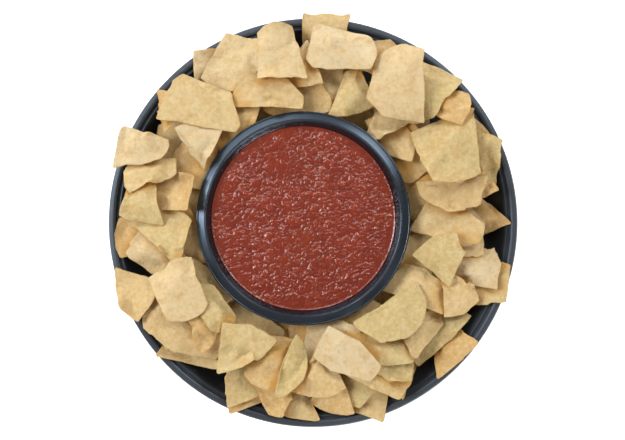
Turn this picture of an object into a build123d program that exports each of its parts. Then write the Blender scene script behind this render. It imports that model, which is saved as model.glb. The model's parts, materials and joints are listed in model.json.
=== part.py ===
from build123d import *
import math
import os

import numpy as np
from scipy.optimize import linprog

# Chip and dip server: a round catering tray, a loose dip bowl standing in it,
# the salsa in the bowl and a ring of tortilla chips heaped round the bowl.
# Millimetres, +Z up, tray standing on z = 0 with its centre on the Z axis.

# ---- tray ----
TRAY_R = 203.0
TRAY_H = 30.0
TRAY_WALL = 1.8
FLOOR_TOP = 2.0
FLOOR_R = 172.0
WALL_TOP_R = 191.0
SEAT_Z = 26.0
BAND_IN_R = 196.0
LIP_Z = 23.0

# ---- dip bowl ----
BOWL_X = -9.5
BOWL_Y = 4.3
BOWL_R = 104.5
BOWL_TOP = 52.0
BOWL_BASE = 2.3
BOWL_FLOOR_R = 64.0
BOWL_MOUTH_R = 94.0
BOWL_LIP_Z = 46.5

# ---- salsa ----
SALSA_TOP = 44.0
SALSA_GAP = 0.15

# ---- chips ----
CHIP_T = 1.5
CORNER_R = 1.2
CURL_MORE = 1.3
UNEVEN = 0.10
CLEAR = 0.4
MAX_SLOPE = 0.24
GRID = 260

# Each chip: kind, x, y, heading of its axis, length along it, width across it,
# and how far it curls (mm of sag; minus is cupped). Listed from the bottom of
# the heap to the top, because each one comes to rest on the ones before it.
LOWER = [
    ("slab", 7, 182, -100, 4),
    ("slab", -98, 147, -92, -4),
    ("wedge", 150, 74, 30, 5),
    ("wedge", 171, 8, 170, 3),
    ("slab", 164, -58, 165, -5),
    ("wedge", 132, -130, 75, -5),
    ("wedge", 84, -152, 100, 4),
    ("slab", 52, -160, 75, 3),
    ("wedge", -17, -166, -100, 5),
    ("slab", -58, -157, 15, 3),
    ("slab", -118, -122, -22, -4),
    ("wedge", -168, -14, 182, 4),
    ("slab", 84, 88, 30, 4),
    ("slab", 96, 60, -50, 3),
    ("wedge", -138, 74, 80, 4),
    ("slab", 8, 126, -80, 3),
    ("slab", 44, -148, -130, 4),
    ("slab", -40, -111, 12, 3),
    ("slab", 4, -115, -8, 3),
    ("slab", -64, 110, 25, 3),
    ("slab", 107, 25, 100, 3),
    ("slab", 90, 72, 130, 3),
    ("slab", -20, 121, 10, -3),
    ("slab", -77, 101, 40, 3),
    ("slab", -60, -102, -30, 3),
    ("slab", 102, -36, 70, -3),
    ("slab", -124, 35, 75, -3),
    ("slab", -127, -16, 98, 3),
    ("slab", -107, -64, 125, 3),
    ("slab", -112, 60, 60, 3),
    ("slab", 60, -96, 140, 3),
    ("moon", 78, 84, 45, 3),
    ("slab", 162, 60, 80, 3),
    ("slab", 18, -118, -12, 3),
]
LOWER_SIZE = {"slab": (56, 48), "wedge": (56, 58), "moon": (36, 68)}

UPPER = [
    ("slab", -153, -30, -40, 56, 46, 5),
    ("slab", -148, -90, 50, 50, 48, 4),
    ("slab", -120, -106, -20, 56, 48, -5),
    ("moon", -107, -94, 20, 28, 66, 4),
    ("slab", -60, -152, 15, 54, 44, 3),
    ("slab", -38, -160, -75, 50, 44, 4),
    ("wedge", 22, -163, -100, 56, 46, 3),
    ("slab", 62, -148, -32, 58, 38, 4),
    ("slab", 124, -104, -122, 66, 44, -5),
    ("slab", 164, -42, 175, 46, 44, 3),
    ("slab", 150, -4, -95, 52, 46, 4),
    ("wedge", 70, 111, -70, 56, 60, -4),
    ("wedge", 34, 128, -85, 58, 52, 3),
    ("wedge", -14, 158, -95, 52, 52, 3),
    ("slab", -77, 158, -112, 54, 52, -5),
    ("wedge", -109, 74, 100, 50, 54, 5),
    ("wedge", -142, 107, 85, 50, 38, 3),
    ("moon", -44, 129, 90, 36, 80, 4),
    ("slab", -108, 118, -15, 66, 50, 6),
    ("wedge", -131, -15, 105, 60, 62, 5),
    ("slab", -127, 28, 180, 56, 50, -5),
    ("slab", -168, 22, 90, 46, 44, 4),
    ("slab", -162, 50, 10, 48, 38, 3),
    ("slab", -172, 73, -10, 46, 46, 5),
    ("wedge", -168, -66, -165, 54, 60, -4),
    ("slab", -98, -74, -52, 58, 38, 4),
    ("slab", -135, -64, -65, 58, 52, 5),
    ("slab", -42, -134, -110, 52, 46, 3),
    ("wedge", -71, -126, 55, 64, 70, 6),
    ("wedge", 6, -143, -92, 54, 58, 4),
    ("moon", -20, -145, -24, 26, 70, -6),
    ("wedge", 70, -139, -8, 62, 46, 4),
    ("slab", 60, -122, 3, 60, 36, 3),
    ("slab", 30, -120, -20, 54, 44, 3),
    ("slab", 106, -98, -120, 60, 44, -6),
    ("slab", 106, -62, -30, 60, 44, 5),
    ("wedge", 141, -64, -60, 56, 50, 4),
    ("moon", 79, -93, -62, 42, 76, 6),
    ("slab", 128, 0, -30, 58, 54, 5),
    ("wedge", 128, -38, 100, 54, 62, 6),
    ("wedge", 164, 40, 178, 56, 48, 3),
    ("moon", 138, 27, -85, 36, 74, 5),
    ("slab", 128, 72, -80, 64, 64, 7),
    ("slab", 129, 116, -20, 42, 34, 2),
    ("slab", 62, 162, 10, 48, 34, 3),
    ("slab", 111, 130, -120, 54, 48, 5),
    ("slab", 77, 132, 85, 62, 56, 6),
    ("slab", 26, 172, -10, 56, 46, 5),
    ("slab", -36, 163, 100, 52, 50, 4),
]


def base_chips():
    """The hidden bottom of the heap: closed rings of chips lying on the tray floor."""
    rings = [
        ("slab", BOWL_X, BOWL_Y, 113, 12, 0, 2),
        ("moon", 0, 0, 146, 15, 10, -2),
        ("wedge", 0, 0, 145, 14, 3, 2),
        ("slab", BOWL_X, BOWL_Y, 124, 13, 17, -2),
        ("moon", BOWL_X, BOWL_Y, 114, 13, 9, 2),
    ]
    chips = []
    for kind, cx, cy, ring, count, start, curl in rings:
        for k in range(count):
            bearing = start + 360 * k / count
            x = cx + ring * math.cos(math.radians(bearing))
            y = cy + ring * math.sin(math.radians(bearing))
            turn = bearing + 60 * math.sin(5 * bearing + ring)
            chips.append((kind, x, y, turn, *LOWER_SIZE[kind], curl))
    return chips


def uneven(number, corner, size):
    """How far one corner of one chip is out of place, so that no two chips are cut alike."""
    return UNEVEN * size * math.sin(12.9898 * number + 4.1414 * corner)


def outline(kind, length, width, number):
    """Corners of one chip about its own centre; the last three lie on its curved edge."""
    half = width / 2
    dx = [uneven(number, k, length) for k in range(4)]
    dy = [uneven(number, k + 7, width) for k in range(4)]
    if kind == "wedge":
        shoulder = math.sqrt(length**2 - half**2) - length / 2
        right, left = (shoulder + dx[1], -half), (shoulder + dx[2], half)
        return [(-length / 2, dy[0]), right, (length / 2, 0), left]
    if kind == "moon":
        return [(-length / 2 + dx[0] / 2, -half), (length / 2, dy[1] / 2), (-length / 2 - dx[0] / 2, half)]
    end = 0.38 * width
    far = length / 2
    bulge = 0.56 * length + max(dx[2], dx[3], 0)
    corners = [(-far + dx[0], half + dy[0] / 2), (-far + dx[1], -half - dy[1] / 2)]
    if number % 3 == 0:
        corners[:1] = [(-far + 0.32 * length, half), (-far, half - 0.34 * width)]
    return corners + [(far + dx[2], -end + dy[2]), (bulge, 0), (far + dx[3], end + dy[3])]


def arc_points(a, m, b, count=17):
    """Points along the circle through a, m and b."""
    (ax, ay), (mx, my), (bx, by) = a, m, b
    d = 2 * (ax * (my - by) + mx * (by - ay) + bx * (ay - my))
    a2, m2, b2 = ax**2 + ay**2, mx**2 + my**2, bx**2 + by**2
    cx = (a2 * (my - by) + m2 * (by - ay) + b2 * (ay - my)) / d
    cy = (a2 * (bx - mx) + m2 * (ax - bx) + b2 * (mx - ax)) / d
    start, stop = math.atan2(ay - cy, ax - cx), math.atan2(by - cy, bx - cx)
    if stop < start:
        stop += 2 * math.pi
    sweep = np.linspace(start, stop, count)
    r = math.hypot(ax - cx, ay - cy)
    return [(cx + r * math.cos(t), cy + r * math.sin(t)) for t in sweep]


def samples(shape):
    """A fine grid of points over one chip's outline, in its own plane."""
    poly = np.array(shape[: len(shape) - 3] + arc_points(*shape[-3:]))
    lo, hi = poly.min(axis=0), poly.max(axis=0)
    s, t = np.meshgrid(np.arange(lo[0], hi[0] + 0.7, 0.7), np.arange(lo[1], hi[1] + 0.7, 0.7))
    s, t = s.ravel(), t.ravel()
    inside = np.zeros(len(s), bool)
    for (x1, y1), (x2, y2) in zip(poly, np.roll(poly, -1, axis=0)):
        crosses = (y1 > t) != (y2 > t)
        with np.errstate(divide="ignore", invalid="ignore"):
            inside ^= crosses & (s < (x2 - x1) * (t - y1) / (y2 - y1) + x1)
    return np.vstack([np.column_stack([s[inside], t[inside]]), poly])


def bend_radius(length, width, curl):
    return max(length, width) ** 2 / (8 * abs(curl))


def sag(st, roll, radius, curl):
    """Height of the curled sheet above its own plane at the middle of its thickness."""
    across = st[:, 0] * math.cos(roll) + st[:, 1] * math.sin(roll)
    return -math.copysign(1, curl) * (radius - np.sqrt(radius**2 - across**2))


def heap_ground():
    """Height of the tray's upper side, and of the bowl's underside, over a 1 mm grid."""
    axis = np.arange(-GRID, GRID + 1)
    x, y = np.meshgrid(axis, axis, indexing="ij")
    r = np.hypot(x, y)
    rs = [0, 168, FLOOR_R, WALL_TOP_R, 192.2, 193.4, BAND_IN_R - 1, BAND_IN_R, TRAY_R + 1]
    zs = [FLOOR_TOP, FLOOR_TOP, 3, SEAT_Z, SEAT_Z + 1, SEAT_Z + 1, TRAY_H, TRAY_H, TRAY_H]
    ground = np.interp(r, rs, zs, right=0)
    rb = np.hypot(x - BOWL_X, y - BOWL_Y)
    slope = (BOWL_TOP - BOWL_BASE - 3) / (BOWL_MOUTH_R - BOWL_FLOOR_R)
    under = BOWL_BASE + slope * (rb - BOWL_FLOOR_R - 2.5)
    roof = np.where(rb > BOWL_R + 1.5, 500, np.minimum(under, BOWL_LIP_Z))
    return ground, roof


def grow(field):
    """Each cell takes the highest value among itself and its eight neighbours."""
    wide = field.copy()
    for dx in (-1, 0, 1):
        for dy in (-1, 0, 1):
            wide = np.maximum(wide, np.roll(field, (dx, dy), axis=(0, 1)))
    return wide


def frame_of(heading, a, b):
    normal = np.array([-a, -b, 1.0]) / math.sqrt(1 + a * a + b * b)
    ahead = np.array([math.cos(heading), math.sin(heading), 0.0])
    ahead = ahead - ahead.dot(normal) * normal
    ahead = ahead / np.linalg.norm(ahead)
    return ahead, np.cross(normal, ahead), normal


def lie_down(x, y, heading, st, rise, ground, roof):
    """The lowest resting tilt of one chip on the heap: three unknowns, height and two slopes."""
    a = b = 0.0
    for _ in range(3):
        ex, ey, ez = frame_of(heading, a, b)
        off = st[:, :1] * ex + st[:, 1:] * ey + rise[:, None] * ez
        ix = np.rint(x + off[:, 0]).astype(int) + GRID
        iy = np.rint(y + off[:, 1]).astype(int) + GRID
        bump = off[:, 2] - a * off[:, 0] - b * off[:, 1]
        skin = CHIP_T / 2 + CLEAR
        rows = np.column_stack([np.ones(len(st)), off[:, 0], off[:, 1]])
        low = ground[ix, iy] + skin - bump
        top = roof[ix, iy] - skin - bump
        near = top < 100
        found = linprog(
            [1, 0, 0],
            A_ub=np.vstack([-rows, rows[near]]),
            b_ub=np.concatenate([-low, top[near]]),
            bounds=[(0, 200), (-MAX_SLOPE, MAX_SLOPE), (-MAX_SLOPE, MAX_SLOPE)],
            method="highs",
        )
        if found.status != 0:
            return None
        a, b = found.x[1:]
    ex, ey, ez = frame_of(heading, a, b)
    skin = np.array([-0.5, 0.5])[:, None] * CHIP_T
    off = st[:, :1] * ex + st[:, 1:] * ey
    under = off + (rise[:, None] + skin[0]) * ez
    upper = off + (rise[:, None] + skin[1]) * ez
    cell = [np.rint(p[:, :2] + (x, y)).astype(int) + GRID for p in (under, upper)]
    z = (ground[cell[0][:, 0], cell[0][:, 1]] + CLEAR - under[:, 2]).max()
    room = (roof[cell[1][:, 0], cell[1][:, 1]] - CLEAR - upper[:, 2]).min()
    if z > room:
        return None
    return z, a, b, cell[1], upper[:, 2] + z


def settle(chips):
    """Lay the chips down one after another; returns the plane and curl of each."""
    height, roof = heap_ground()
    resting = []
    for number, (kind, x, y, turn, length, width, curl) in enumerate(chips):
        heading = math.radians(turn)
        roll = math.radians(37 * number % 180)
        radius = bend_radius(length, width, CURL_MORE * curl)
        shape = outline(kind, length, width, number)
        st = samples(shape)
        rise = sag(st, roll, radius, curl)
        wide = grow(height)
        for step in range(30):
            away = math.atan2(y - BOWL_Y, x - BOWL_X)
            px, py = x + step * math.cos(away), y + step * math.sin(away)
            rest = lie_down(px, py, heading, st, rise, wide, roof)
            if rest:
                break
        z, a, b, cells, tops = rest
        np.maximum.at(height, (cells[:, 0], cells[:, 1]), tops)
        ex, ey, ez = frame_of(heading, a, b)
        plane = Plane(origin=(px, py, z), x_dir=tuple(ex), z_dir=tuple(ez))
        resting.append((kind, shape, math.copysign(radius, curl), roll, plane))
    return resting


def chip_solid(shape, radius, roll, plane):
    """A curled sheet of even thickness cut to one chip's outline."""
    along = plane.x_dir * math.cos(roll) + plane.y_dir * math.sin(roll)
    side = Plane(origin=plane.origin, x_dir=along, z_dir=along.cross(plane.z_dir))
    half = 1.12 * max(math.hypot(*p) for p in shape)
    with BuildPart() as chip:
        with BuildSketch(plane):
            with BuildLine():
                Polyline(shape[-1], *shape[: len(shape) - 2])
                ThreePointArc(*shape[-3:])
            make_face()
            fillet(vertices(), CORNER_R)
        extrude(amount=40, both=True)
        with BuildSketch(side):
            with BuildLine():
                inner = abs(radius) - CHIP_T / 2
                outer = abs(radius) + CHIP_T / 2
                sign = -math.copysign(1, radius)
                half = min(half, 0.9 * inner)
                ends = []
                for r in (inner, outer):
                    drop = abs(radius) - math.sqrt(r * r - half * half)
                    tip = abs(radius) - r
                    ThreePointArc((-half, sign * drop), (0, sign * tip), (half, sign * drop))
                    ends.append(sign * drop)
                Line((-half, ends[0]), (-half, ends[1]))
                Line((half, ends[0]), (half, ends[1]))
            make_face()
        extrude(amount=90, both=True, mode=Mode.INTERSECT)
    return chip.part


# ---- tray: one revolved sheet with a lid seat and a turned-down lip ----
with BuildPart() as serving_tray:
    with BuildSketch(Plane.XZ):
        with BuildLine():
            Polyline(
                (0, 0),
                (0, FLOOR_TOP),
                (FLOOR_R, FLOOR_TOP),
                (WALL_TOP_R, SEAT_Z),
                (WALL_TOP_R + 1.2, SEAT_Z + 1),
                (WALL_TOP_R + 2.4, SEAT_Z),
                (BAND_IN_R - 0.6, SEAT_Z),
                (BAND_IN_R, TRAY_H - 0.8),
            )
            ThreePointArc(
                (BAND_IN_R, TRAY_H - 0.8),
                ((BAND_IN_R + TRAY_R) / 2, TRAY_H),
                (TRAY_R - 1, TRAY_H - 1),
            )
            Polyline(
                (TRAY_R - 1, TRAY_H - 1),
                (TRAY_R, TRAY_H - 2.2),
                (TRAY_R, LIP_Z),
                (TRAY_R - TRAY_WALL, LIP_Z),
                (TRAY_R - TRAY_WALL, TRAY_H - 2.8),
                (BAND_IN_R + TRAY_WALL, TRAY_H - 2.2),
                (BAND_IN_R + TRAY_WALL - 0.5, SEAT_Z - TRAY_WALL),
                (WALL_TOP_R + 0.9, SEAT_Z - TRAY_WALL),
                (FLOOR_R + 0.7, 0),
                (0, 0),
            )
        make_face()
        corner = vertices().filter_by(lambda v: FLOOR_R - 1 < v.X < FLOOR_R + 1)
        fillet(corner, 6)
    revolve(axis=Axis.Z)
serving_tray.part.label = "serving_tray"

# ---- dip bowl: a drafted wall under a sloping rim band with a turned-down lip ----
BOWL_PLANE = Plane(origin=(BOWL_X, BOWL_Y, 0), x_dir=(1, 0, 0), z_dir=(0, -1, 0))
with BuildPart() as dip_bowl:
    with BuildSketch(BOWL_PLANE):
        with BuildLine():
            Polyline(
                (0, BOWL_BASE),
                (0, BOWL_BASE + 2),
                (BOWL_FLOOR_R, BOWL_BASE + 2),
                (BOWL_MOUTH_R, BOWL_TOP - 2),
                (BOWL_MOUTH_R + 0.8, BOWL_TOP - 0.5),
                (BOWL_MOUTH_R + 1.8, BOWL_TOP),
            )
            ThreePointArc(
                (BOWL_MOUTH_R + 1.8, BOWL_TOP),
                (BOWL_MOUTH_R + 6.0, BOWL_TOP - 0.3),
                (BOWL_R - 0.8, BOWL_TOP - 1.4),
            )
            Polyline(
                (BOWL_R - 0.8, BOWL_TOP - 1.4),
                (BOWL_R, BOWL_TOP - 2.4),
                (BOWL_R, BOWL_LIP_Z),
                (BOWL_R - 1.4, BOWL_LIP_Z),
                (BOWL_R - 1.4, BOWL_TOP - 3.2),
                (BOWL_MOUTH_R + 3.0, BOWL_TOP - 2.2),
                (BOWL_MOUTH_R + 1.6, BOWL_TOP - 3.2),
                (BOWL_FLOOR_R + 1.2, BOWL_BASE),
                (0, BOWL_BASE),
            )
        make_face()
        corner = vertices().filter_by(lambda v: BOWL_FLOOR_R - 1 < v.X - BOWL_X < BOWL_FLOOR_R + 2)
        fillet(corner, 5)
    revolve(axis=Axis((BOWL_X, BOWL_Y, 0), (0, 0, 1)))
dip_bowl.part.label = "dip_bowl"

# ---- salsa: fills the bowl to a shallow meniscus below the rim ----
DRAFT = (BOWL_MOUTH_R - BOWL_FLOOR_R) / (BOWL_TOP - BOWL_BASE - 4)
SALSA_R = BOWL_FLOOR_R + DRAFT * (SALSA_TOP - BOWL_BASE - 2)
with BuildPart() as salsa:
    with BuildSketch(BOWL_PLANE):
        with BuildLine():
            Polyline(
                (0, BOWL_BASE + 2 + SALSA_GAP),
                (BOWL_FLOOR_R - 6, BOWL_BASE + 2 + SALSA_GAP),
                (BOWL_FLOOR_R + 0.6, BOWL_BASE + 5.5),
                (SALSA_R + 0.3, SALSA_TOP + 0.9),
                (SALSA_R - 3, SALSA_TOP),
                (0, SALSA_TOP),
                (0, BOWL_BASE + 2 + SALSA_GAP),
            )
        make_face()
    revolve(axis=Axis((BOWL_X, BOWL_Y, 0), (0, 0, 1)))
salsa.part.label = "salsa"

os.makedirs("parts", exist_ok=True)
export_step(serving_tray.part, "parts/serving_tray.step")
export_step(dip_bowl.part, "parts/dip_bowl.step")
export_step(salsa.part, "parts/salsa.step")

# ---- chips ----
hidden = base_chips()
lower = [(kind, x, y, turn, *LOWER_SIZE[kind], curl) for kind, x, y, turn, curl in LOWER]
placed = settle(hidden + lower + UPPER)
buried = placed[: len(hidden) + len(lower)]
for kind in ("slab", "wedge", "moon"):
    group = Compound(children=[chip_solid(*chip[1:]) for chip in buried if chip[0] == kind])
    group.label = f"lower_{kind}_chips"
    export_step(group, f"parts/lower_{kind}_chips.step")
for number, chip in enumerate(placed[len(buried) :], start=1):
    solid = chip_solid(*chip[1:])
    solid.label = f"chip_{number:02d}"
    export_step(solid, f"parts/chip_{number:02d}.step")
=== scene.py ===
"""Chip and dip server: the looks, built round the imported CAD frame. Metres, +Z up."""

import json
import math

import bpy
import numpy as np
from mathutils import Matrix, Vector
from mathutils.bvhtree import BVHTree


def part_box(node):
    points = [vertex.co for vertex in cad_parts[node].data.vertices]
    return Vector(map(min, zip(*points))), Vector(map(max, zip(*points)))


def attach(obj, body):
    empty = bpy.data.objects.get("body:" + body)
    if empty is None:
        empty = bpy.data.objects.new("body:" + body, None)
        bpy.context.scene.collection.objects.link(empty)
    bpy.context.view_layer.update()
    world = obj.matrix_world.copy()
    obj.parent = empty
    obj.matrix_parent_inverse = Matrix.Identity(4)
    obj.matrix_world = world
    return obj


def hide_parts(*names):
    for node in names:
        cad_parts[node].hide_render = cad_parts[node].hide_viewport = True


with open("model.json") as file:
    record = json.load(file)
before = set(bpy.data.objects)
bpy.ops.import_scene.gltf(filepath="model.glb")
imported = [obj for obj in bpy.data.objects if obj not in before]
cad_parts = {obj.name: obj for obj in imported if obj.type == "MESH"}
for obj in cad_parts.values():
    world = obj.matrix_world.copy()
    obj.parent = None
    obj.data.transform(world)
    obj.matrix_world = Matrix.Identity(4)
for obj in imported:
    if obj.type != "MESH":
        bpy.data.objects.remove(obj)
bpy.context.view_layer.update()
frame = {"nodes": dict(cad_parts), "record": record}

MM = 0.001
CHIP_T = 1.05 * MM  # thickness of a finished chip
CAD_CHIP_T = 1.5 * MM  # thickness of a CAD chip
CHIP_SPAN = 30 * MM  # about half a chip's width, the unit of its bends
FREE = 12 * MM  # how far a chip looks for a neighbour
SPARE = 0.12 * MM  # part of that room no bend uses
SEEDS_PER_NODE = 100
FIRST_SEED = 11
CHIP_GRID = 44  # mesh squares across a chip that can be seen whole
HIDDEN_GRID = 22  # mesh squares across a chip at the bottom of the heap
ROOM_GRID = 16  # places across a chip where the room round it is measured
SALSA_GRID = 290  # mesh squares across the salsa
SALSA_WALL = 90.3  # mm, radius of the salsa's top
SALSA_TOP = 44.0  # mm, level of the salsa
POLISHED_RADIUS = 94.2  # mm, the bowl's wall inside its rim band


# ---------------------------------------------------------------- noise in numpy
def lattice(ix, iy, seed):
    """Repeatable numbers from 0 to 1 at whole-number places."""
    h = ix.astype(np.int64) * 374761393 + iy.astype(np.int64) * 668265263 + int(seed) * 974634777
    h = ((h ^ (h >> 13)) * 1274126177) & 0x7FFFFFFF
    h = ((h ^ (h >> 15)) * 461845907) & 0x7FFFFFFF
    return ((h ^ (h >> 13)) & 0xFFFFFF) / 0xFFFFFF


def noise(x, y, seed):
    """Smooth noise from -1 to 1, one bump per unit."""
    ix, iy = np.floor(x), np.floor(y)
    fx, fy = x - ix, y - iy
    fx, fy = fx**3 * (fx * (6 * fx - 15) + 10), fy**3 * (fy * (6 * fy - 15) + 10)
    a, b = lattice(ix, iy, seed), lattice(ix + 1, iy, seed)
    c, d = lattice(ix, iy + 1, seed), lattice(ix + 1, iy + 1, seed)
    return 2 * ((a + (b - a) * fx) * (1 - fy) + (c + (d - c) * fx) * fy) - 1


def fbm(x, y, seed, octaves=3):
    total, size, weight = 0, 1.0, 1.0
    for k in range(octaves):
        total = total + weight * noise(x * size, y * size, seed + 17 * k)
        size, weight = size * 2.03, weight * 0.5
    return total / 1.5


def cells(x, y, seed, jitter=0.9):
    """Distance to the nearest scattered point, and that point's own number."""
    ix, iy = np.floor(x), np.floor(y)
    near = np.full(x.shape, 9.0)
    tag = np.zeros(x.shape)
    for dx in (-1, 0, 1):
        for dy in (-1, 0, 1):
            cx, cy = ix + dx, iy + dy
            px = cx + 0.5 + jitter * (lattice(cx, cy, seed) - 0.5)
            py = cy + 0.5 + jitter * (lattice(cx, cy, seed + 5) - 0.5)
            d = np.hypot(px - x, py - y)
            closer = d < near
            tag = np.where(closer, lattice(cx, cy, seed + 9), tag)
            near = np.where(closer, d, near)
    return near, tag


def kinks(angle, count, seed):
    """Straight runs between random values from -1 to 1, once round a closed edge."""
    at = np.mod(angle, 2 * math.pi) / (2 * math.pi) * count
    low = np.floor(at)
    row = np.zeros(len(at))
    a = lattice(np.mod(low, count), row, seed)
    b = lattice(np.mod(low + 1, count), row, seed)
    return 2 * (a + (b - a) * (at - low)) - 1


def smooth(low, high, value):
    t = np.clip((value - low) / (high - low), 0, 1)
    return t * t * (3 - 2 * t)


def kinks_smooth(angle, count, seed):
    """Like kinks, with rounded turns."""
    spread = 0.5 * math.pi / count
    return sum(kinks(angle + k * spread, count, seed) for k in (-1, -0.5, 0, 0.5, 1)) / 5


# ---------------------------------------------------------------- mesh helpers
def make_mesh(name, points, faces, attributes=()):
    mesh = bpy.data.meshes.new(name)
    faces = [np.asarray(f, np.int32) for f in faces if len(f)]
    counts = np.concatenate([np.full(len(f), f.shape[1], np.int32) for f in faces])
    loops = np.concatenate([f.ravel() for f in faces])
    mesh.vertices.add(len(points))
    mesh.vertices.foreach_set("co", np.asarray(points, np.float32).ravel())
    mesh.loops.add(len(loops))
    mesh.loops.foreach_set("vertex_index", loops)
    mesh.polygons.add(len(counts))
    starts = np.concatenate([[0], np.cumsum(counts)[:-1]]).astype(np.int32)
    mesh.polygons.foreach_set("loop_start", starts)
    mesh.update(calc_edges=True)
    mesh.shade_smooth()
    for label, values in attributes:
        kind = "FLOAT" if values.ndim == 1 else "FLOAT_VECTOR"
        field = "value" if values.ndim == 1 else "vector"
        slot = mesh.attributes.new(label, kind, "POINT")
        slot.data.foreach_set(field, np.asarray(values, np.float32).ravel())
    mesh.validate()
    return mesh


def place(name, mesh, material, body, slot, *nodes):
    obj = bpy.data.objects.new(name, mesh)
    bpy.context.scene.collection.objects.link(obj)
    mesh.materials.append(material)
    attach(obj, body)
    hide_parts(*nodes)


def disc_grid(n):
    """An n by n square grid spread evenly over the unit circle: radius and angle."""
    side = np.linspace(-1, 1, n + 1)
    a, b = np.meshgrid(side, side, indexing="ij")
    wide = np.abs(a) > np.abs(b)
    with np.errstate(divide="ignore", invalid="ignore"):
        angle = np.where(wide, math.pi / 4 * b / a, math.pi / 2 - math.pi / 4 * a / b)
    radius = np.where(wide, a, b)
    angle = np.where((a == 0) & (b == 0), 0, angle)
    angle = np.where(radius < 0, angle + math.pi, angle)
    return np.abs(radius), np.mod(angle, 2 * math.pi)


def grid_faces(n):
    k = np.arange((n + 1) ** 2).reshape(n + 1, n + 1)
    return np.stack([k[:-1, :-1], k[1:, :-1], k[1:, 1:], k[:-1, 1:]], axis=-1).reshape(-1, 4)


def grid_rim(n):
    """The grid's border, once round, anticlockwise."""
    k = np.arange((n + 1) ** 2).reshape(n + 1, n + 1)
    return np.concatenate([k[:-1, 0], k[-1, :-1], k[:0:-1, -1], k[0, :0:-1]])


def blur(field, times):
    for _ in range(times):
        padded = np.pad(field, 1, mode="edge")
        field = sum(
            padded[1 + i : padded.shape[0] - 1 + i, 1 + j : padded.shape[1] - 1 + j]
            for i in (-1, 0, 1)
            for j in (-1, 0, 1)
        ) / 9
    return field


# ---------------------------------------------------------------- reading the CAD chips
def loose_parts(obj):
    """Each separate solid of a CAD node: its points and triangles."""
    mesh = obj.data
    co = np.empty(len(mesh.vertices) * 3)
    mesh.vertices.foreach_get("co", co)
    mesh.calc_loop_triangles()
    tri = np.empty(len(mesh.loop_triangles) * 3, np.int32)
    mesh.loop_triangles.foreach_get("vertices", tri)
    key = np.rint(co.reshape(-1, 3) / (0.01 * MM)).astype(np.int64)
    _, first, same = np.unique(key, axis=0, return_index=True, return_inverse=True)
    points, tri = co.reshape(-1, 3)[first], same.ravel()[tri].reshape(-1, 3)
    label = np.arange(len(points))
    while True:
        lower = label.copy()
        np.minimum.at(lower, tri.ravel(), np.repeat(label[tri].min(axis=1), 3))
        lower = lower[lower]
        if (lower == label).all():
            break
        label = lower
    parts = []
    for root in np.unique(label):
        mine = np.flatnonzero(label == root)
        number = np.full(len(points), -1)
        number[mine] = np.arange(len(mine))
        rows = tri[label[tri[:, 0]] == root]
        parts.append((points[mine], number[rows]))
    return parts


def convex_outline(flat):
    """The convex hull of points in a plane, anticlockwise."""
    order = flat[np.lexsort((flat[:, 1], flat[:, 0]))]

    def half(points):
        kept = []
        for p in points:
            while len(kept) > 1:
                a, b = kept[-2], kept[-1]
                if (b[0] - a[0]) * (p[1] - a[1]) - (b[1] - a[1]) * (p[0] - a[0]) > 0:
                    break
                kept.pop()
            kept.append(p)
        return kept[:-1]

    return np.array(half(order) + half(order[::-1]))


def reach(outline, angle):
    """Distance from the origin to the outline along each angle."""
    a = outline
    b = np.roll(outline, -1, axis=0)
    dx, dy = np.cos(angle)[:, None], np.sin(angle)[:, None]
    ex, ey = (b - a)[:, 0], (b - a)[:, 1]
    cross = dx * ey - dy * ex
    with np.errstate(divide="ignore", invalid="ignore"):
        t = (a[:, 0] * ey - a[:, 1] * ex) / cross
        s = (a[:, 0] * dy - a[:, 1] * dx) / cross
    good = (t > 0) & (s > -1e-6) & (s < 1 + 1e-6) & np.isfinite(t)
    return np.where(good, t, 0).max(axis=1)


class Chip:
    """One CAD chip: its own plane, its outline in that plane and its curled middle surface."""

    def __init__(self, points, tris):
        fit = np.column_stack([np.ones(len(points)), points[:, :2]])
        _, b, c = np.linalg.lstsq(fit, points[:, 2], rcond=None)[0]
        self.n = np.array([-b, -c, 1.0]) / math.sqrt(1 + b * b + c * c)
        self.u = np.array([1.0, 0, 0]) - self.n[0] * self.n
        self.u /= np.linalg.norm(self.u)
        self.v = np.cross(self.n, self.u)
        middle = points.mean(axis=0)
        flat = np.column_stack([(points - middle) @ self.u, (points - middle) @ self.v])
        hull = convex_outline(flat)
        shift = (hull.min(axis=0) + hull.max(axis=0)) / 2
        self.outline = hull - shift
        self.o = middle + shift[0] * self.u + shift[1] * self.v
        self.tree = BVHTree.FromPolygons(points.tolist(), tris.tolist())
        self.form = self.middle_surface()

    def point(self, x, y, z):
        return self.o + x[:, None] * self.u + y[:, None] * self.v + z[:, None] * self.n

    @staticmethod
    def powers(x, y):
        x, y = x / CHIP_SPAN, y / CHIP_SPAN
        return np.column_stack([x**i * y**j for i in range(5) for j in range(5 - i)])

    def middle_surface(self):
        """Height of the middle of the sheet, as a polynomial over its own plane."""
        radius, angle = disc_grid(12)
        r = reach(self.outline, angle.ravel()) * radius.ravel() * 0.955
        x, y = r * np.cos(angle.ravel()), r * np.sin(angle.ravel())
        far = CHIP_SPAN
        down, up = -Vector(self.n), Vector(self.n)
        found = []
        for k, p in enumerate(self.point(x, y, np.full(len(x), far))):
            top = self.tree.ray_cast(Vector(p), down)
            low = self.tree.ray_cast(Vector(p - 2 * far * self.n), up)
            if top[0] is not None and low[0] is not None:
                height = (Vector(top[0]) + Vector(low[0])) / 2
                found.append((k, float((np.array(height) - self.o) @ self.n)))
        rows = np.array([f[0] for f in found])
        height = np.array([f[1] for f in found])
        return np.linalg.lstsq(self.powers(x[rows], y[rows]), height, rcond=None)[0]

    def height(self, x, y):
        return self.powers(x, y) @ self.form


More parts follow.
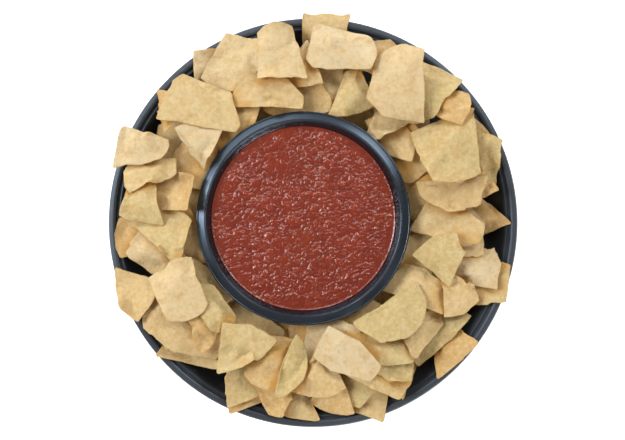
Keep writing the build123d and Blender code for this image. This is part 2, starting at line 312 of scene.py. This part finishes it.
def rooms(chip, heap, size):
    """How far each place of a chip may go up or down before it meets a CAD neighbour.

    A ray that starts inside the chip's own solid leaves it first and is cast again from there.
    """
    radius, angle = disc_grid(size)
    r = reach(chip.outline, angle.ravel()) * radius.ravel() * 0.985
    x, y = r * np.cos(angle.ravel()), r * np.sin(angle.ravel())
    base = chip.height(x, y)
    found = []
    for sign in (1, -1):
        skin = sign * (CAD_CHIP_T / 2 + 0.1 * MM)
        ray = Vector(chip.n * sign)
        free = np.full(len(x), FREE)
        for k, p in enumerate(chip.point(x, y, base + skin)):
            hit = heap.ray_cast(Vector(p), ray, FREE)
            if hit[0] is not None and hit[1].dot(ray) > 0:
                hit = heap.ray_cast(hit[0] + 0.02 * MM * ray, ray, FREE)
            if hit[0] is not None:
                free[k] = hit[3]
        grid = free.reshape(size + 1, size + 1)
        padded = np.pad(grid, 1, mode="edge")
        least = grid
        for i in (0, 1, 2):
            for j in (0, 1, 2):
                least = np.minimum(least, padded[i : i + size + 1, j : j + size + 1])
        found.append(blur(least, 2))
    return found


def resample(grid, n):
    """A coarse grid's values at the places of an n by n grid."""
    size = grid.shape[0] - 1
    at = np.linspace(0, size, n + 1)
    low = np.minimum(at.astype(int), size - 1)
    part = at - low
    rows = grid[low] * (1 - part)[:, None] + grid[low + 1] * part[:, None]
    return (rows[:, low] * (1 - part) + rows[:, low + 1] * part).ravel()


def snapped(edge, angle, seed):
    """The outline after a few corners have snapped off along nearly straight lines."""
    draw = np.random.default_rng(seed + 7)
    for _ in range(draw.integers(1, 3)):
        across = draw.uniform(0, 2 * math.pi)
        face = np.cos(angle - across)
        reached = edge[np.argmax(face)]
        line = draw.uniform(0.93, 1.0) * reached / np.maximum(face, 0.05)
        edge = np.where(face > 0.05, np.minimum(edge, line), edge)
    return edge


def held(bend, up, down):
    """A bend eased towards the room above or below it."""
    room = np.maximum(np.where(bend > 0, up, down) - SPARE, 0.01 * MM)
    return room * np.tanh(bend / room)


def curled(chip, x, y, radius, angle, seed, n, heap):
    """Extra bends of the sheet within the room round it, and a painted-shade mask for each of its
    two sides, strongest where a neighbour lies close over it.
    """
    draw = np.random.default_rng(seed)
    turn = draw.uniform(0, math.pi)
    along = (x * math.cos(turn) + y * math.sin(turn)) / CHIP_SPAN
    across = (y * math.cos(turn) - x * math.sin(turn)) / CHIP_SPAN
    droop = draw.uniform(3.0, 11.0) * draw.choice([-1, -1, 0.6]) * np.abs(along) ** 2.4
    twist = draw.uniform(-4.5, 4.5) * along * across + droop
    wave = 3.6 * noise(x / 0.023 + seed, y / 0.023, seed)
    wave = wave + 1.0 * noise(x / 0.010, y / 0.010 + seed, seed + 3)
    flutter = draw.uniform(1.0, 3.2) * kinks_smooth(angle, 7, seed + 5)
    flutter = flutter + 0.8 * kinks_smooth(angle, 17, seed + 6)
    wave += flutter * smooth(0.45, 1.0, radius)
    lift = np.zeros(len(x))
    for _ in range(4):
        at, width = draw.uniform(0, 2 * math.pi), draw.uniform(0.3, 0.75)
        gap = np.abs(np.mod(angle - at + math.pi, 2 * math.pi) - math.pi)
        size = draw.uniform(3.0, 12.0) * draw.choice([-0.6, 1, 1])
        lift += size * np.exp(-((gap / width) ** 2)) * smooth(0.4, 1.05, radius) ** 1.5
    above, below = rooms(chip, heap, ROOM_GRID)
    sink = draw.uniform(0.4, 1.0) * resample(blur(below, 2), n) * smooth(0.25, 1.0, radius)
    bend = (twist + wave + lift) * MM - sink
    up = above * (0.15 + 0.85 * smooth(0.7 * FREE, FREE, above))
    # painted shade: each side of the chip darkens where a neighbouring chip lies close to it
    painted_shade_cover = [
        1 - smooth(0.05 * FREE, 0.75 * FREE, resample(blur(room, 1), n))
        for room in (above, below)
    ]
    return held(bend, resample(up, n), resample(0.72 * below, n)), painted_shade_cover


def chip_sheet(chip, seed, n, heap):
    """One tortilla chip as a closed curled sheet with a broken, rounded edge and blisters."""
    radius, angle = (g.ravel() for g in disc_grid(n))
    edge = reach(chip.outline, angle)
    edge = snapped(edge, angle, seed)
    straight = kinks(angle, 9, seed + 21) + 0.6 * kinks(angle, 23, seed + 22)
    ex, ey = edge * np.cos(angle), edge * np.sin(angle)
    ragged = 0.9 * noise(ex / 0.007 + seed, ey / 0.007, seed)
    ragged += 0.45 * noise(ex / 0.0028, ey / 0.0028 + seed, seed + 1)
    bite = smooth(0.45, 0.8, noise(ex / 0.016, ey / 0.016 - seed, seed + 2))
    edge = edge + (0.75 * straight - 0.5 + 0.3 * ragged - 1.7 * bite * (1 + 0.4 * ragged)) * MM
    radius = np.where(radius < 1, radius * (1 - 0.4 * MM / edge) / (1 - 2 / n), 1)
    x, y = radius * edge * np.cos(angle), radius * edge * np.sin(angle)
    bend, painted_shade_cover = curled(chip, x, y, radius, angle, seed, n, heap)
    mid = chip.height(x, y) + bend

    inside = (1 - radius) * edge / MM
    near, tag = cells(x / 0.0085 + seed, y / 0.0085, seed + 4)
    dome = np.where(tag > 0.42, smooth(0.46, 0.05, near) * (tag - 0.3), 0)
    near2, tag2 = cells(x / 0.0042, y / 0.0042 + seed, seed + 6)
    patch = smooth(-0.1, 0.5, noise(x / 0.02, y / 0.02 + seed, seed + 8))
    small = np.where(tag2 > 0.3, smooth(0.5, 0.1, near2), 0) * patch
    blister = (0.50 * dome + 0.24 * small) * smooth(0.5, 4, inside)
    dents = 0.28 * fbm(x / 0.0065, y / 0.0065, seed + 11)
    half = CHIP_T / 2 * (0.68 + 0.32 * smooth(-0.1, 0.5, inside))
    half = half * (1 + 0.1 * noise(x / 0.01, y / 0.01, seed + 12))
    side = 1 if lattice(np.array(seed), np.array(3), 1) > 0.4 else 0.35
    top = mid + half + (blister * side + dents) * MM
    low = mid - half - (blister * (1.3 - side) * 0.6 - dents * 0.5) * MM

    rim = grid_rim(n)
    out = (edge[rim] + 0.18 * MM) / edge[rim]
    rx, ry = x[rim] * out, y[rim] * out
    border = chip.point(rx, ry, (top[rim] + low[rim]) / 2)
    points = np.vstack([chip.point(x, y, top), chip.point(x, y, low), border])
    count = (n + 1) ** 2
    quads = grid_faces(n)
    ring = 2 * count + np.arange(len(rim))
    after = np.roll(np.arange(len(rim)), -1)
    upper = np.stack([rim, rim[after], ring[after], ring], axis=-1)[:, ::-1]
    lower = np.stack([ring, ring[after], count + rim[after], count + rim], axis=-1)[:, ::-1]
    faces = np.vstack([quads, count + quads[:, ::-1], upper, lower])

    tone = draw_tone(seed)
    total = len(points)
    grain = np.zeros((total, 3))
    grain[:, 0] = np.concatenate([x, x, rx])
    grain[:, 1] = np.concatenate([y, y, ry])
    grain[:, 2] = (seed % 97) * 0.013
    grain[count : 2 * count, 2] += 0.4
    rise = np.concatenate([blister, blister * 0.5, np.zeros(len(rim))])
    depth = np.concatenate([inside, inside, np.zeros(len(rim))])
    # the painted-shade masks of the top, the underside and the rim
    painted_shade_cover = np.concatenate([*painted_shade_cover, np.minimum(*painted_shade_cover)[rim]])
    return points, faces, {
        "grain": grain,
        "tone": np.full(total, tone),
        "blister": rise / 0.3,
        "inside": depth,
        "painted_shade_cover": painted_shade_cover,
    }


def draw_tone(seed):
    return float(lattice(np.array(seed * 7), np.array(seed), 77))


def join(sheets):
    """Several sheets as the points, faces and attributes of one mesh."""
    points, faces, start = [], [], 0
    for p, f, _ in sheets:
        points.append(p)
        faces.append(f + start)
        start += len(p)
    names = sheets[0][2]
    attributes = [(k, np.concatenate([s[2][k] for s in sheets])) for k in names]
    return np.vstack(points), [np.vstack(faces)], attributes


# ---------------------------------------------------------------- materials
class Nodes:
    """A short way to write a node material."""

    def __init__(self, name):
        self.material = bpy.data.materials.new(name)
        self.material.use_nodes = True
        self.tree = self.material.node_tree
        self.shader = self.tree.nodes["Principled BSDF"]

    def add(self, kind, inputs=(), **settings):
        node = self.tree.nodes.new(kind)
        for key, value in settings.items():
            setattr(node, key, value)
        for key, value in dict(inputs).items():
            self.feed(node.inputs[key], value)
        return node

    def feed(self, socket, value):
        if isinstance(value, bpy.types.NodeSocket):
            self.tree.links.new(value, socket)
        else:
            socket.default_value = value

    def attribute(self, name, output="Fac"):
        return self.add("ShaderNodeAttribute", attribute_name=name).outputs[output]

    def noise(self, vector, scale, detail=2.0, roughness=0.5, distortion=0.0):
        inputs = {
            "Vector": vector,
            "Scale": scale,
            "Detail": detail,
            "Roughness": roughness,
            "Distortion": distortion,
        }
        return self.add("ShaderNodeTexNoise", inputs).outputs["Fac"]

    def voronoi(self, vector, scale):
        inputs = {"Vector": vector, "Scale": scale}
        return self.add("ShaderNodeTexVoronoi", inputs).outputs["Distance"]

    def ramp(self, value, low, high, start=0.0, end=1.0):
        inputs = {"Value": value, "From Min": low, "From Max": high, "To Min": start, "To Max": end}
        return self.add("ShaderNodeMapRange", inputs, clamp=True).outputs[0]

    def math(self, operation, a, b=0.0):
        node = self.add("ShaderNodeMath", operation=operation)
        self.feed(node.inputs[0], a)
        self.feed(node.inputs[1], b)
        return node.outputs[0]

    def mix(self, factor, a, b):
        node = self.add("ShaderNodeMix", data_type="RGBA")
        self.feed(node.inputs[0], factor)
        self.feed(node.inputs[6], a)
        self.feed(node.inputs[7], b)
        return node.outputs[2]

    def bump(self, height, strength, distance, normal=None):
        inputs = {"Height": height, "Strength": strength, "Distance": distance}
        if normal is not None:
            inputs["Normal"] = normal
        return self.add("ShaderNodeBump", inputs).outputs[0]

    def finish(self, **sockets):
        for key, value in sockets.items():
            self.feed(self.shader.inputs[key.replace("_", " ")], value)
        return self.material


def rgb(r, g, b):
    return (r, g, b, 1.0)


def tortilla():
    m = Nodes("tortilla")
    grain = m.attribute("grain", "Vector")
    tone, blister, inside = m.attribute("tone"), m.attribute("blister"), m.attribute("inside")
    broad = m.noise(grain, 70, 3, 0.6, 0.5)
    mottle = m.noise(grain, 240, 4, 0.65)
    colour = m.mix(m.ramp(tone, 0.0, 0.35), rgb(0.63, 0.385, 0.14), rgb(0.65, 0.475, 0.23))
    colour = m.mix(m.ramp(tone, 0.40, 0.60), colour, rgb(0.57, 0.45, 0.195))
    colour = m.mix(m.ramp(tone, 0.60, 0.80), colour, rgb(0.65, 0.48, 0.24))
    colour = m.mix(m.ramp(tone, 0.82, 0.95), colour, rgb(0.68, 0.545, 0.34))
    colour = m.mix(m.ramp(broad, 0.42, 0.72, 0, 0.55), colour, rgb(0.60, 0.37, 0.13))
    green = m.noise(grain, 62, 2, 0.5)
    colour = m.mix(m.ramp(green, 0.55, 0.75, 0, 0.35), colour, rgb(0.55, 0.42, 0.17))
    colour = m.mix(m.ramp(mottle, 0.46, 0.64, 0, 0.5), colour, rgb(0.74, 0.58, 0.33))
    colour = m.mix(m.ramp(mottle, 0.46, 0.32, 0, 0.42), colour, rgb(0.52, 0.33, 0.11))
    spots = m.voronoi(grain, 260)
    seldom = m.ramp(m.noise(grain, 110, 1), 0.46, 0.66)
    pale = m.math("MULTIPLY", m.ramp(spots, 0.42, 0.14), m.math("MULTIPLY", seldom, 0.40))
    colour = m.mix(pale, colour, rgb(0.76, 0.61, 0.37))
    colour = m.mix(m.ramp(blister, 0.2, 0.95, 0, 0.35), colour, rgb(0.74, 0.58, 0.34))
    toasted = m.ramp(m.noise(grain, 90, 2), 0.56, 0.76)
    toast = m.math("MULTIPLY", toasted, m.ramp(blister, 0.0, 0.5, 0.4, 1.0))
    colour = m.mix(m.math("MULTIPLY", toast, 0.5), colour, rgb(0.48, 0.25, 0.065))
    speck = m.ramp(m.voronoi(grain, 650), 0.18, 0.07)
    specks = m.math("MULTIPLY", m.math("MULTIPLY", speck, seldom), 0.5)
    colour = m.mix(specks, colour, rgb(0.42, 0.21, 0.06))
    colour = m.mix(m.ramp(inside, 0.9, 0.0, 0, 0.45), colour, rgb(0.52, 0.32, 0.11))
    # painted shade: saturated brown where a neighbouring chip lies close above or below
    painted_shade = m.math("MULTIPLY", m.attribute("painted_shade_cover"), 0.88)
    colour = m.mix(painted_shade, colour, rgb(0.58, 0.30, 0.055))
    fine = m.noise(grain, 1500, 3, 0.65)
    pits = m.bump(fine, 0.35, 0.25 * MM)
    pores = m.bump(m.noise(grain, 380, 3, 0.6), 0.8, 1.2 * MM, pits)
    rough = m.ramp(mottle, 0.3, 0.7, 0.52, 0.70)
    return m.finish(
        Base_Color=colour,
        Roughness=rough,
        Normal=pores,
        Specular_IOR_Level=0.3,
    )


def black_plastic(name, painted_shade_below, outer, low, high, roughness, gloss):
    """Moulded black plastic with painted light and shade: paler above a height, where the rim band
    catches the light, darker below it, and glossier where the mesh is polished.
    """
    m = Nodes(name)
    where = m.add("ShaderNodeTexCoord").outputs["Object"]
    z = m.add("ShaderNodeSeparateXYZ", {"Vector": where}).outputs["Z"]
    cloud = m.noise(where, 14, 3, 0.55)
    flow = m.noise(where, 220, 3, 0.6)
    # painted light and shade: the dark colour below low stands for the shaded hollow, the paler one
    # above high for the lit rim
    colour = m.mix(m.ramp(z, low, high), rgb(*painted_shade_below), rgb(*outer))
    colour = m.mix(m.ramp(cloud, 0.35, 0.7, 0, 0.35), colour, rgb(*(1.6 * c for c in outer)))
    worn = m.math("MULTIPLY", m.ramp(m.noise(where, 90, 4, 0.7), 0.58, 0.70), 0.25)
    colour = m.mix(worn, colour, rgb(*(2.2 * c for c in outer)))
    fine = m.noise(where, 1800, 2, 0.5)
    rough = m.ramp(cloud, 0.3, 0.7, roughness - 0.05, roughness + 0.05)
    rough = m.math("ADD", rough, m.ramp(flow, 0.4, 0.75, 0, 0.05))
    rough = m.math("SUBTRACT", rough, m.math("MULTIPLY", m.attribute("polished"), 0.14))
    skin = m.bump(fine, 0.12, 0.05 * MM)
    orange_peel = m.bump(flow, 0.05, 0.3 * MM, skin)
    tint = rgb(0.62, 0.80, 1.0)
    return m.finish(
        Base_Color=colour,
        Roughness=rough,
        Normal=orange_peel,
        Specular_Tint=tint,
        Specular_IOR_Level=gloss,
    )


def salsa_material():
    m = Nodes("salsa_sauce")
    where = m.add("ShaderNodeTexCoord").outputs["Object"]
    height, pulp, fleck = m.attribute("height"), m.attribute("pulp"), m.attribute("fleck")
    broad = m.noise(where, 45, 2, 0.5)
    fine = m.noise(where, 560, 4, 0.65)
    # painted shade: darker in the hollows between the lumps, lighter on their tops
    colour = m.mix(m.ramp(height, -0.5, 0.7), rgb(0.15, 0.009, 0.002), rgb(0.26, 0.026, 0.006))
    colour = m.mix(m.ramp(broad, 0.40, 0.68, 0, 0.35), colour, rgb(0.26, 0.030, 0.008))
    colour = m.mix(m.ramp(fine, 0.52, 0.72, 0, 0.35), colour, rgb(0.14, 0.009, 0.003))
    shreds = m.math("MULTIPLY", m.ramp(pulp, 0.72, 0.9), 0.4)
    colour = m.mix(shreds, colour, rgb(0.31, 0.050, 0.014))
    colour = m.mix(m.ramp(fleck, 0.25, 0.6, 0, 0.6), colour, rgb(0.12, 0.075, 0.016))
    ripple = m.bump(m.noise(where, 430, 2, 0.5), 0.75, 0.9 * MM)
    rough = m.ramp(fine, 0.35, 0.7, 0.16, 0.28)
    return m.finish(
        Base_Color=colour,
        Roughness=rough,
        Normal=ripple,
        Specular_IOR_Level=0.6,
        Coat_Weight=0.5,
        Coat_Roughness=0.09,
        Subsurface_Weight=0.12,
        Subsurface_Scale=2 * MM,
    )


def floor_material():
    m = Nodes("studio_floor")
    where = m.add("ShaderNodeTexCoord").outputs["Object"]
    cloud = m.noise(where, 3, 2)
    colour = m.mix(m.ramp(cloud, 0.3, 0.7), rgb(0.96, 0.96, 0.96), rgb(0.98, 0.98, 0.98))
    return m.finish(
        Base_Color=colour,
        Roughness=0.8,
        Specular_IOR_Level=0.0,
        Emission_Color=rgb(1.0, 1.0, 1.0),
        Emission_Strength=0.8,
    )


# ---------------------------------------------------------------- chips
TORTILLA = tortilla()
nodes = frame["nodes"]
bodies = frame["record"]["behaviour"]["bodies"]
home = {node: body for body, owned in bodies.items() for node in owned}
chip_nodes = sorted(n for n in nodes if "chip" in n)
solids = {n: loose_parts(nodes[n]) for n in nodes if n != "salsa"}


def heap_tree():
    points, tris, start = [], [], 0
    for parts in solids.values():
        for p, t in parts:
            points.append(p)
            tris.append(t + start)
            start += len(p)
    return BVHTree.FromPolygons(np.vstack(points).tolist(), np.vstack(tris).tolist())


HEAP = heap_tree()
for row, node in enumerate(chip_nodes):
    grid = CHIP_GRID if len(solids[node]) == 1 else HIDDEN_GRID
    seed = SEEDS_PER_NODE * row + FIRST_SEED
    sheets = [
        chip_sheet(Chip(*part), seed + k, grid, HEAP) for k, part in enumerate(solids[node])
    ]
    name = node.replace("chip_", "tortilla_chip_").replace("_chips", "_tortilla_chips")
    place(name, make_mesh(name, *join(sheets)), TORTILLA, home[node], "tortilla_chip", node)


# ---------------------------------------------------------------- tray and bowl
def lathe(name, profile, centre, steps, polished_radius=0.0):
    """A closed profile of (radius, height) pairs in mm, turned about a vertical axis.

    Points within polished_radius (mm) are marked as polished.
    """
    profile = np.array(profile) * MM
    turn = np.linspace(0, 2 * math.pi, steps, endpoint=False)
    r, z = profile[:, 0], profile[:, 1]
    x = centre[0] + np.outer(np.cos(turn), r)
    y = centre[1] + np.outer(np.sin(turn), r)
    points = np.stack([x, y, np.broadcast_to(z, x.shape)], axis=-1)
    k = np.arange(steps * len(r)).reshape(steps, len(r))
    a, b = k, np.roll(k, -1, axis=0)
    faces = np.stack([a[:, :-1], b[:, :-1], b[:, 1:], a[:, 1:]], axis=-1).reshape(-1, 4)
    polished = np.tile(r < polished_radius * MM, steps).astype(float)
    return make_mesh(name, points.reshape(-1, 3), [faces], [("polished", polished)])


def rounded(corners):
    """A profile through corners (r, z, fillet): straight runs with round corners."""
    path = []
    count = len(corners)
    for i, (r, z, fillet) in enumerate(corners):
        if fillet == 0 or i in (0, count - 1):
            path.append((r, z))
            continue
        here = np.array([r, z], float)
        back = np.array(corners[i - 1][:2], float) - here
        ahead = np.array(corners[i + 1][:2], float) - here
        lb, la = np.linalg.norm(back), np.linalg.norm(ahead)
        back, ahead = back / lb, ahead / la
        half = math.acos(np.clip(back @ ahead, -1, 1)) / 2
        cut = min(fillet / math.tan(half), 0.48 * lb, 0.48 * la)
        start, end = here + back * cut, here + ahead * cut
        bends = max(3, int((math.pi - 2 * half) / math.radians(14)) + 1)
        for t in np.linspace(0, 1, bends + 1):
            path.append(tuple((1 - t) ** 2 * start + 2 * t * (1 - t) * here + t * t * end))
    spread = [path[0]]
    for p, q in zip(path, path[1:]):
        gap = math.dist(p, q)
        if gap < 1e-6:
            continue
        cuts = max(1, int(gap / 12))
        spread += [
            (p[0] + (q[0] - p[0]) * k / cuts, p[1] + (q[1] - p[1]) * k / cuts)
            for k in range(1, cuts + 1)
        ]
    return spread


TRAY_PROFILE = [
    (0.0, 2.0, 0),
    (172.0, 2.0, 6),
    (190.8, 25.6, 0.8),
    (192.0, 27.0, 0.5),
    (193.0, 26.6, 0.4),
    (193.6, 25.9, 0.3),
    (195.3, 25.9, 0.4),
    (196.0, 29.0, 0.7),
    (198.2, 30.0, 1.5),
    (201.8, 29.1, 0.8),
    (203.0, 27.4, 1.0),
    (203.0, 23.0, 0.4),
    (201.2, 23.0, 0.4),
    (201.2, 27.2, 0.8),
    (197.8, 27.8, 0.8),
    (197.2, 24.2, 0.8),
    (191.9, 24.2, 0.8),
    (172.7, 0.0, 4),
    (0.0, 0.0, 0),
]
BOWL_PROFILE = [
    (0.0, 4.3, 0),
    (64.0, 4.3, 5),
    (93.9, 49.6, 0.5),
    (94.4, 51.2, 0.4),
    (95.4, 51.9, 0.35),
    (96.1, 51.4, 0.3),
    (96.7, 51.6, 0.4),
    (102.2, 49.1, 0.6),
    (102.8, 48.4, 0.25),
    (103.4, 48.8, 0.35),
    (104.5, 48.3, 0.7),
    (104.5, 46.5, 0.4),
    (103.1, 46.5, 0.4),
    (103.0, 47.8, 0.4),
    (97.0, 49.6, 0.8),
    (95.4, 48.6, 0.8),
    (65.2, 2.3, 4),
    (0.0, 2.3, 0),
]
low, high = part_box("dip_bowl")
BOWL_AT = ((low.x + high.x) / 2, (low.y + high.y) / 2)
TRAY_PLASTIC = black_plastic(
    "tray_satin_black",
    painted_shade_below=(0.009, 0.009, 0.010),
    outer=(0.044, 0.049, 0.058),
    low=24 * MM,
    high=28 * MM,
    roughness=0.36,
    gloss=0.5,
)
BOWL_PLASTIC = black_plastic(
    "bowl_satin_black",
    painted_shade_below=(0.005, 0.005, 0.007),
    outer=(0.006, 0.008, 0.014),
    low=44 * MM,
    high=50 * MM,
    roughness=0.29,
    gloss=1.0,
)
tray = lathe("moulded_tray", rounded(TRAY_PROFILE), (0, 0), 360)
place("moulded_tray", tray, TRAY_PLASTIC, "server", "tray_plastic", "serving_tray")
bowl = lathe("moulded_dip_bowl", rounded(BOWL_PROFILE), BOWL_AT, 288, POLISHED_RADIUS)
place("moulded_dip_bowl", bowl, BOWL_PLASTIC, "bowl", "bowl_plastic", "dip_bowl")


# ---------------------------------------------------------------- salsa
SALSA_UNDERSIDE = [  # (radius, height) in mm, down the bowl's wall and across its floor
    (89.7, 43.6),
    (83.7, 34.6),
    (76.7, 24.0),
    (69.7, 13.4),
    (65.0, 6.4),
    (58.0, 4.6),
    (30.0, 4.6),
    (0.4, 4.6),
]


def salsa_mesh():
    """Chunky wet sauce: a dense lumpy top, a meniscus at the wall and the bowl's shape below."""
    n = SALSA_GRID
    radius, angle = (g.ravel() for g in disc_grid(n))
    wall = SALSA_WALL
    r = radius * wall
    x, y = r * np.cos(angle), r * np.sin(angle)
    wx = x + 1.3 * noise(x / 5, y / 5, 31) + 0.4 * noise(x / 1.8, y / 1.8, 33)
    wy = y + 1.3 * noise(x / 5, y / 5, 32) + 0.4 * noise(x / 1.8, y / 1.8, 34)
    thick = 0.35 + 0.65 * smooth(-0.9, -0.3, fbm(x / 22, y / 22, 41))
    thick = thick * smooth(wall - 1, wall - 9, r + 6 * noise(x / 15, y / 15, 42))
    near, tag = cells(wx / 3.6, wy / 2.8, 51)
    lumps = np.clip(1 - (near / 0.62) ** 2, 0, 1) * (0.25 + 0.75 * tag)
    near2, tag2 = cells(wx / 2.3, wy / 1.8, 61)
    crumbs = np.clip(1 - (near2 / 0.6) ** 2, 0, 1) * (0.2 + 0.8 * tag2)
    near3, tag3 = cells(wx / 8, wy / 6.5, 71)
    chunks = np.where(tag3 > 0.62, smooth(0.55, 0.15, near3), 0)
    relief = 0.85 * lumps + 0.42 * crumbs + 0.7 * chunks - 0.3
    rise = 0.25 * fbm(x / 14, y / 14, 81) + thick * relief
    rise += (0.05 + 0.10 * thick) * fbm(x / 2.8, y / 2.8, 91)
    meniscus = 0.85 * smooth(wall - 3.2, wall, r) ** 2
    height = SALSA_TOP - 0.35 + 0.9 * rise * smooth(wall, wall - 1.2, r) + meniscus
    fleck = np.where(tag > 0.93, smooth(0.5, 0.25, near), 0)
    fleck = fleck * smooth(0.1, 0.6, noise(x / 30 + 3, y / 30, 95))

    rim = grid_rim(n)
    count = len(x)
    cx, cy = BOWL_AT[0] / MM, BOWL_AT[1] / MM
    top = np.column_stack([x + cx, y + cy, height])
    rings, faces = [top], [grid_faces(n)]
    last = rim
    start = count
    for ring_r, ring_z in SALSA_UNDERSIDE:
        ring_x, ring_y = cx + ring_r * np.cos(angle[rim]), cy + ring_r * np.sin(angle[rim])
        rings.append(np.column_stack([ring_x, ring_y, np.full(len(rim), ring_z)]))
        now = start + np.arange(len(rim))
        after_ring = np.roll(np.arange(len(rim)), -1)
        faces.append(np.stack([last, now, now[after_ring], last[after_ring]], axis=-1))
        last = now
        start += len(rim)
    points = np.vstack(rings) * MM
    extra = len(points) - count
    attributes = [
        ("height", np.concatenate([rise, np.zeros(extra)])),
        ("pulp", np.concatenate([tag, np.zeros(extra)])),
        ("fleck", np.concatenate([fleck, np.zeros(extra)])),
    ]
    return make_mesh("chunky_salsa", points, faces, attributes)


place("chunky_salsa", salsa_mesh(), salsa_material(), "bowl", "salsa", "salsa")


# ---------------------------------------------------------------- floor, light and camera
FLOOR_HALF = 4.0  # half the floor's side
FLOOR_DROP = 0.0002  # the floor lies this far under the tray
COOL = (0.95, 0.975, 1.0)
AIM = (0, 0, 0.03)


def area_light(name, at, size, power):
    """A cool soft light of a size in metres and a power in watts, aimed at the heap."""
    data = bpy.data.lights.new(name, "AREA")
    data.shape = "RECTANGLE"
    data.size, data.size_y = size
    data.energy = power
    data.color = COOL
    obj = bpy.data.objects.new(name, data)
    obj.location = at
    obj.rotation_euler = (Vector(AIM) - Vector(at)).to_track_quat("-Z", "Y").to_euler()
    obj.visible_camera = False
    bpy.context.scene.collection.objects.link(obj)


corners = [(-FLOOR_HALF, -FLOOR_HALF), (FLOOR_HALF, -FLOOR_HALF)]
corners += [(FLOOR_HALF, FLOOR_HALF), (-FLOOR_HALF, FLOOR_HALF)]
floor_points = np.array([(x, y, -FLOOR_DROP) for x, y in corners])
floor_mesh = make_mesh("studio_floor", floor_points, [np.array([[0, 1, 2, 3]])])
floor_mesh.materials.append(floor_material())
floor = bpy.data.objects.new("studio_floor", floor_mesh)
bpy.context.scene.collection.objects.link(floor)

area_light("left_softbox", (-2.0, 0.35, 1.80), (1.0, 1.2), 46)
area_light("back_softbox", (1.35, 1.45, 1.85), (1.0, 1.0), 26)
area_light("back_fill", (-0.95, 1.95, 1.88), (2.1, 1.0), 23)
area_light("front_fill", (1.30, -2.1, 0.50), (1.4, 0.4), 38)
world = bpy.data.worlds.new("studio")
bpy.context.scene.world = world
world.use_nodes = True
background = world.node_tree.nodes["Background"]
background.inputs["Color"].default_value = (1.0, 0.90, 0.76, 1)
background.inputs["Strength"].default_value = 0.32

PLATE_Z = 0.030  # the level at which the view is VIEW_WIDTH wide, in metres
VIEW_WIDTH = 0.6193
VIEW_CENTRE = (-0.0006, 0.0027)
LENS, SENSOR = 70.0, 36.0  # mm
camera_data = bpy.data.cameras.new("camera")
camera_data.lens = LENS
camera_data.sensor_width = SENSOR
camera = bpy.data.objects.new("camera", camera_data)
camera.location = (*VIEW_CENTRE, PLATE_Z + VIEW_WIDTH * LENS / SENSOR)
bpy.context.scene.collection.objects.link(camera)
bpy.context.scene.camera = camera
bpy.context.scene.view_settings.view_transform = "Standard"
